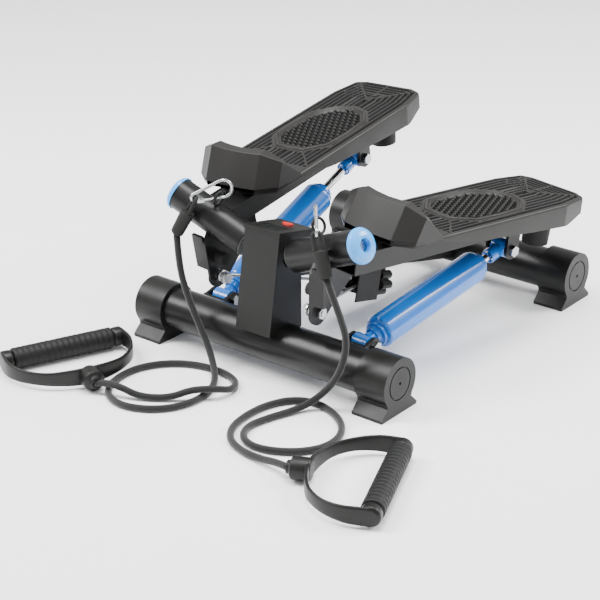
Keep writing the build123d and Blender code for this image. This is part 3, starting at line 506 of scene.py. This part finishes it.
def pad_skin(sizes):
    """Massage pad: floor, raised rim and rows of domed nubs."""
    points, faces = [], []

    def loop(scale, height):
        base = len(points)
        for u, w in PAD:
            points.append((u * scale * MM, (250 + (w - 250) * scale) * MM, height * MM))
        return list(range(base, base + len(PAD)))

    steps = [(1.0, 9.6), (1.0, 15.4), (0.985, 16.2), (0.95, 16.2), (0.94, 14.4), (0.92, 14.4), (0.91, 15.2),
             (0.885, 15.2), (0.87, 11.4), (0.4, 11.4)]
    loops = [loop(scale, height) for scale, height in steps]
    for a, b in zip(loops, loops[1:]):
        for i in range(len(a)):
            j = (i + 1) % len(a)
            faces.append((a[i], a[j], b[j], b[i]))
    faces.append(tuple(loops[-1]))
    radius, tall = sizes.nub_radius, sizes.nub_height
    profile = [(radius, 0.0), (radius * 0.82, tall * 0.5), (radius * 0.55, tall * 0.85), (radius * 0.2, tall)]
    dome, dome_faces = turned(profile + [(radius * 0.01, tall)], 10)
    row = 0
    w = 187.0
    while w < 322:
        shift = 4.4 if row % 2 else 0.0
        for column in range(-6, 7):
            u = column * 8.8 + shift
            if inset_distance(PAD, u, w) > 8.4:
                base = len(points)
                points.extend((x + u * MM, y + w * MM, z + 11.2 * MM) for x, y, z in dome)
                faces.extend(tuple(i + base for i in f) for f in dome_faces)
        row += 1
        w += 8.6
    return points, faces


def paint_groove_shade(obj, matrix, low, high, name):
    """Paints shade on the faces between two heights of the tread's frame: a dark second material that stands in for
    the shadow in the grooves.
    """
    obj.data.materials.append(bpy.data.materials[name])
    back = matrix.inverted()
    for polygon in obj.data.polygons:
        place = back @ polygon.center / MM
        inside = abs(place.x) < half_width(place.y) - 3.3 and place.y < 412
        if low < place.z < high and inside:
            polygon.material_index = 1


class STEPPER_OT_treads(bpy.types.Operator):
    """Treads with contour ribs, toe guards and massage pads"""
    bl_idname = "stepper.treads"
    bl_label = "Treads"

    def execute(self, context):
        sizes = context.scene.stepper_tread
        for side, place in SIDES.items():
            matrix = place @ PEDAL
            body = f"{side}_half"
            points, faces = tread_skin(sizes)
            tread = new_object(f"{side}_tread_top", points, faces, matrix, body, "tread_plastic")
            # painted shade: the groove floors between the ribs get the dark material
            paint_groove_shade(tread, matrix, 8.5, 13.9, "tread_groove_painted_shade")
            points, faces = guard_skin()
            guard = new_object(f"{side}_toe_guard", points, faces, matrix, body, "tread_plastic")
            soften(guard, 0.0016, 3, 20)
            points, faces = pad_skin(sizes)
            pad = new_object(f"{side}_massage_pad", points, faces, matrix, body, "tread_plastic")
            # painted shade: the pad's floor and the feet of its nubs get the dark material
            paint_groove_shade(pad, matrix, 8.5, 12.6, "tread_groove_painted_shade")
            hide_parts(f"{side}_pedal")
            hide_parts(f"{side}_massage_insert")
        return {"FINISHED"}


# ---------------------------------------------------------------------------
# finishes, cords, handles and small parts
# ---------------------------------------------------------------------------
def damper_frame(side):
    """Frame with Z from a damper's foot to its upper pin, and the length between them."""
    foot = PLAIN_SIDES[side] @ Vector((0.1116, -0.161, 0.051))
    top = SIDES[side] @ PEDAL @ Vector((0, 0.320, -0.0554))
    return axis_frame(foot, top - foot, (1, 0, 0)), (top - foot).length / MM


class STEPPER_OT_dampers(bpy.types.Operator):
    """Stepped collars, rod ferrules and blue eyes of the dampers"""
    bl_idname = "stepper.dampers"
    bl_label = "Dampers"

    def execute(self, context):
        for side in SIDES:
            matrix, reach = damper_frame(side)
            head = [(6.6, 216), (16.8, 216), (16.8, 220.6), (12.4, 220.6), (12.4, 226.4), (6.6, 226.4)]
            foot = [(8.7, 27.5), (16.2, 27.5), (16.2, 22.5), (11.2, 22.5), (11.2, 16), (8.7, 16)]
            skin = [turned([(r * MM, z * MM) for r, z in rounded(p + p[:1], 1.1)]) for p in (head, foot)]
            points, faces = joined([(*s, Matrix.Identity(4)) for s in skin])
            new_object(f"{side}_damper_collars", points, faces, matrix, f"{side}_cylinder", "blue_lacquer")
            sleeve = [(8.6, reach - 31), (8.6, reach - 11), (9.7, reach - 11), (9.7, reach - 29), (9.0, reach - 31)]
            eye = [(8.2, -11.3), (12.2, -11.3), (12.2, 11.3), (8.2, 11.3)]
            skin = turned([(r * MM, z * MM) for r, z in rounded(sleeve + sleeve[:1], 0.5)])
            ring = turned([(r * MM, z * MM) for r, z in rounded(eye + eye[:1], 1.0)])
            across = axis_frame((0, 0, reach * MM), (1, 0, 0), (0, 1, 0))
            points, faces = joined([(*skin, Matrix.Identity(4)), (*ring, across)])
            new_object(f"{side}_rod_end", points, faces, matrix, f"{side}_rod", "blue_lacquer")
        return {"FINISHED"}


class STEPPER_OT_console(bpy.types.Operator):
    """Raised collar round the console's button"""
    bl_idname = "stepper.console"
    bl_label = "Console"

    def execute(self, context):
        low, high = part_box("console_button")
        middle = (Vector(low) + Vector(high)) / 2
        slope = math.radians(12)
        lid_up = Vector((0, math.sin(slope), math.cos(slope)))
        lid = axis_frame((middle.x, middle.y, middle.z), lid_up, (1, 0, 0))
        half = (high[0] - low[0]) / 2 / MM, (high[1] - low[1]) / 2 / MM
        rows = []
        for i in range(33):
            a = 2 * math.pi * i / 32
            row = []
            for grow, z in ((0.9, -1.5), (0.9, 0.35), (1.5, 0.7), (2.3, 0.35), (2.5, -1.5)):
                row.append(((half[0] + grow) * math.cos(a) * MM, (half[1] + grow) * math.sin(a) * MM, z * MM))
            rows.append(row)
        points, faces = lofted(rows)
        new_object("button_collar", points, faces, lid, "frame", "moulded_plastic")
        return {"FINISHED"}


class STEPPER_OT_finishes(bpy.types.Operator):
    """Finishes of every part of the frame"""
    bl_idname = "stepper.finishes"
    bl_label = "Finishes"

    def execute(self, context):
        all_materials(context.scene.stepper_colours)
        finish_nodes()
        return {"FINISHED"}


LAY = 0.0044
CORD_ROUTES = {
    "right": [
        (0.11621, -0.24222, 0.16419), (0.133, -0.241, 0.128), (0.149, -0.243, 0.094), (0.143, -0.247, 0.057),
        (0.126, -0.249, 0.028), (0.108, -0.263, 0.008), (0.098, -0.288, LAY), (0.088, -0.316, LAY),
        (0.082, -0.345, LAY), (0.092, -0.368, LAY), (0.114, -0.380, LAY), (0.141, -0.375, LAY),
        (0.168, -0.357, LAY), (0.184, -0.331, LAY), (0.183, -0.301, LAY), (0.166, -0.274, LAY),
        (0.138, -0.256, LAY), (0.106, -0.249, LAY), (0.080, -0.262, LAY), (0.066, -0.290, LAY),
        (0.063, -0.325, LAY), (0.069, -0.360, LAY), (0.088, -0.385, LAY), (0.116, -0.396, LAY),
        (0.146, -0.399, 0.006), (0.171, -0.402, 0.012), (0.1915, -0.4055, 0.014),
    ],
    "left": [
        (-0.11621, -0.24222, 0.16419), (-0.114, -0.243, 0.124), (-0.099, -0.245, 0.086), (-0.080, -0.247, 0.055),
        (-0.062, -0.250, 0.030), (-0.042, -0.262, 0.011), (-0.022, -0.283, LAY), (-0.010, -0.310, LAY),
        (-0.008, -0.340, LAY), (-0.018, -0.368, LAY), (-0.040, -0.389, LAY), (-0.068, -0.399, LAY),
        (-0.096, -0.393, LAY), (-0.116, -0.373, LAY), (-0.125, -0.345, LAY), (-0.124, -0.315, LAY),
        (-0.110, -0.287, LAY), (-0.086, -0.267, LAY), (-0.056, -0.257, LAY), (-0.026, -0.257, LAY),
        (-0.001, -0.267, LAY), (0.010, -0.289, 0.006), (0.004, -0.313, 0.0147), (-0.017, -0.331, 0.0147),
        (-0.034, -0.347, 0.006), (-0.051, -0.360, LAY), (-0.070, -0.371, 0.006), (-0.089, -0.379, 0.0147),
        (-0.108, -0.384, 0.0165), (-0.1205, -0.3893, 0.014),
    ],
}


def route_line(route):
    """Points of the smooth spline that has the route as control points."""
    curve = bpy.data.curves.new("route", "CURVE")
    curve.dimensions = "3D"
    curve.resolution_u = 8
    spline = curve.splines.new("NURBS")
    spline.points.add(len(route) - 1)
    for point, place in zip(spline.points, route):
        point.co = (*place, 1.0)
    spline.order_u = 3
    spline.use_endpoint_u = True
    holder = bpy.data.objects.new("route", curve)
    mesh = bpy.data.meshes.new_from_object(holder)
    line = [v.co.copy() for v in mesh.vertices]
    bpy.data.objects.remove(holder)
    bpy.data.curves.remove(curve)
    bpy.data.meshes.remove(mesh)
    return line


def tube_skin(line, radius, segments=20):
    """Round skin along a line, its rings turned as little as possible."""
    rings = []
    side = None
    for i, point in enumerate(line):
        ahead = (line[min(i + 1, len(line) - 1)] - line[max(i - 1, 0)]).normalized()
        side = ahead.orthogonal() if side is None else side - ahead * side.dot(ahead)
        side.normalize()
        other = ahead.cross(side)
        rings.append([
            tuple(point + (side * math.cos(a) + other * math.sin(a)) * radius)
            for a in (2 * math.pi * k / segments for k in range(segments))
        ])
    return lofted(rings, closed=True, caps=True)


class STEPPER_OT_cords(bpy.types.Operator):
    """Elastic cords from the snap hooks over the floor to the handles"""
    bl_idname = "stepper.cords"
    bl_label = "Cords"

    def execute(self, context):
        radius = context.scene.stepper_cord.radius
        for side, route in CORD_ROUTES.items():
            line = route_line(route)
            points, faces = tube_skin(line, radius)
            cord = new_object(f"{side}_elastic_cord", points, faces, Matrix.Identity(4), None, "woven_cord")
            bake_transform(cord)
            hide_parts(f"{side}_cord")
        return {"FINISHED"}


HANDLES = {"right": (0.205, -0.400, 22.5), "left": (-0.133, -0.384, 156.8)}


def bow_line(sign):
    """Middle line of one arm of a handle, in millimetres in the handle's frame."""
    knots = [(8, 4), (12, 26), (22, 50), (42, 70), (68, 80), (96, 79)]
    line = []
    for i in range(len(knots) - 1):
        p = [Vector(knots[max(0, min(len(knots) - 1, i + k))]) for k in (-1, 0, 1, 2)]
        for step in range(6):
            t = step / 6
            q = 0.5 * (2 * p[1] + (p[2] - p[0]) * t + (2 * p[0] - 5 * p[1] + 4 * p[2] - p[3]) * t * t
                       + (3 * p[1] - p[0] - 3 * p[2] + p[3]) * t ** 3)
            line.append(Vector((q.x, sign * q.y)))
    line.append(Vector((knots[-1][0], sign * knots[-1][1])))
    return line


def arm_skin(sign):
    """One arm of the handle: a flat bar, taller at the ends, that runs from hub to grip."""
    line = bow_line(sign)
    rows = []
    for i, point in enumerate(line):
        ahead = (line[min(i + 1, len(line) - 1)] - line[max(i - 1, 0)]).normalized()
        normal = Vector((-ahead.y, ahead.x))
        t = i / (len(line) - 1)
        thick = 2.6 - 0.5 * math.sin(math.pi * t)
        tall = 11.6 - 3.2 * math.sin(math.pi * t) ** 2
        row = []
        for k in range(12):
            a = 2 * math.pi * k / 12
            c, s = math.cos(a), math.sin(a)
            across = thick * math.copysign(abs(c) ** 0.5, c)
            high = tall * math.copysign(abs(s) ** 0.5, s)
            spot = point + normal * across
            row.append((spot.x * MM, spot.y * MM, high * MM))
        rows.append(row)
    return lofted(rows, closed=True, caps=True)


class STEPPER_OT_handles(bpy.types.Operator):
    """Moulded pull handles with turning foam grips"""
    bl_idname = "stepper.handles"
    bl_label = "Handles"

    def execute(self, context):
        grip_radius = context.scene.stepper_cord.grip_radius / MM
        along_x = axis_frame((0, 0, 0), (1, 0, 0), (0, 1, 0))
        for side, (x, y, yaw) in HANDLES.items():
            place = Matrix.Translation((x, y, 0.015)) @ Matrix.Rotation(math.radians(yaw), 4, "Z")
            hub = rounded([(4.5, -17), (8, -17), (8, -12.5), (13.4, -11), (13.6, 9), (11, 12), (0.1, 12)], 2.0)
            skin, skin_faces = turned([(r * MM, z * MM) for r, z in hub], 40)
            parts = [(skin, skin_faces, along_x)]
            for sign in (1, -1):
                arm, arm_faces = arm_skin(sign)
                parts.append((arm, arm_faces, Matrix.Identity(4)))
                boss = rounded([(0.1, 66.8), (11, 66.8), (12.4, 69), (12.4, 79), (9, 81.5), (0.1, 81.5)], 1.6)
                end, end_faces = turned([(r * MM, z * MM) for r, z in boss], 40)
                parts.append((end, end_faces, axis_frame((0.096, 0, 0), (0, sign, 0))))
            points, faces = joined(parts)
            handle = new_object(f"{side}_pull_handle", points, faces, place, "frame", "moulded_plastic")
            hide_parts(f"{side}_handle")
            profile = [(7.2, -66), (grip_radius - 1.2, -66), (grip_radius, -64.6)]
            for i in range(-8, 9):
                w = i * 7.5
                profile += [(grip_radius, w - 1.0), (grip_radius - 0.7, w), (grip_radius, w + 1.0)]
            profile += [(grip_radius, 64.6), (grip_radius - 1.2, 66), (7.2, 66)]
            grip, grip_faces = turned([(r * MM, z * MM) for r, z in profile], 48)
            grip_frame = place @ axis_frame((0.096, 0, 0), (0, 1, 0))
            roll = new_object(f"{side}_pull_grip", grip, grip_faces, grip_frame, f"{side}_grip", "foam_rubber")
            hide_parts(f"{side}_grip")
        return {"FINISHED"}


# ---------------------------------------------------------------------------
# stage
# ---------------------------------------------------------------------------
def area_light(name, place, target, size, power):
    data = bpy.data.lights.new(name, "AREA")
    data.shape = "RECTANGLE"
    data.size, data.size_y = size
    data.energy = power
    lamp = bpy.data.objects.new(name, data)
    lamp.location = place
    lamp.rotation_euler = (Vector(target) - Vector(place)).to_track_quat("-Z", "Y").to_euler()
    bpy.context.scene.collection.objects.link(lamp)


class STEPPER_OT_stage(bpy.types.Operator):
    """Floor, soft studio light and the camera"""
    bl_idname = "stepper.stage"
    bl_label = "Stage"

    def execute(self, context):
        mesh = bpy.data.meshes.new("floor")
        mesh.from_pydata([(-6, -6, 0), (6, -6, 0), (6, 6, 0), (-6, 6, 0)], [], [(0, 1, 2, 3)])
        mesh.materials.append(bpy.data.materials["studio_floor"])
        floor = bpy.data.objects.new("floor", mesh)
        context.scene.collection.objects.link(floor)
        world = context.scene.world or bpy.data.worlds.new("studio")
        context.scene.world = world
        world.use_nodes = True
        backdrop = next(n for n in world.node_tree.nodes if n.type == "BACKGROUND")
        backdrop.inputs["Color"].default_value = (1, 1, 1, 1)
        backdrop.inputs["Strength"].default_value = 0.9
        area_light("key", (-1.3, -1.2, 2.0), (0, 0, 0.1), (0.9, 1.4), 95)
        area_light("rim", (1.4, 1.5, 1.6), (0, 0, 0.1), (0.9, 1.2), 75)
        area_light("top", (0.2, -0.2, 2.4), (0, 0, 0), (1.2, 1.2), 90)
        data = bpy.data.cameras.new("camera")
        data.lens = 103.5
        data.sensor_width = 36
        camera = bpy.data.objects.new("camera", data)
        camera.location = (1.2303, -1.6965, 0.9495)
        camera.rotation_euler = (math.radians(90 - 23.9), 0, math.radians(38.4))
        context.scene.collection.objects.link(camera)
        context.scene.camera = camera
        return {"FINISHED"}


class STEPPER_PT_panel(bpy.types.Panel):
    """Sizes, colours and pieces of the stepper"""
    bl_label = "Mini twist stepper"
    bl_idname = "STEPPER_PT_panel"
    bl_space_type = "VIEW_3D"
    bl_region_type = "UI"
    bl_category = "Stepper"

    def draw(self, context):
        scene = context.scene
        for group in (scene.stepper_colours, scene.stepper_tread, scene.stepper_cord):
            box = self.layout.box()
            for key in group.__annotations__:
                box.prop(group, key)
        for operator in OPERATORS:
            self.layout.operator(operator.bl_idname)


OPERATORS = (STEPPER_OT_finishes, STEPPER_OT_treads, STEPPER_OT_dampers, STEPPER_OT_console, STEPPER_OT_handles,
             STEPPER_OT_cords, STEPPER_OT_stage)
GROUPS = {"stepper_colours": StepperColours, "stepper_tread": TreadSizes, "stepper_cord": CordSizes}


def register():
    for name, group in GROUPS.items():
        bpy.utils.register_class(group)
        setattr(bpy.types.Scene, name, bpy.props.PointerProperty(type=group))
    for cls in OPERATORS + (STEPPER_PT_panel,):
        bpy.utils.register_class(cls)


def unregister():
    for cls in reversed(OPERATORS + (STEPPER_PT_panel,)):
        bpy.utils.unregister_class(cls)
    for name, group in GROUPS.items():
        delattr(bpy.types.Scene, name)
        bpy.utils.unregister_class(group)


def main():
    register()
    bpy.ops.stepper.finishes()
    bpy.ops.stepper.treads()
    bpy.ops.stepper.dampers()
    bpy.ops.stepper.console()
    bpy.ops.stepper.handles()
    bpy.ops.stepper.cords()
    bpy.ops.stepper.stage()


if __name__ == "__main__":
    main()
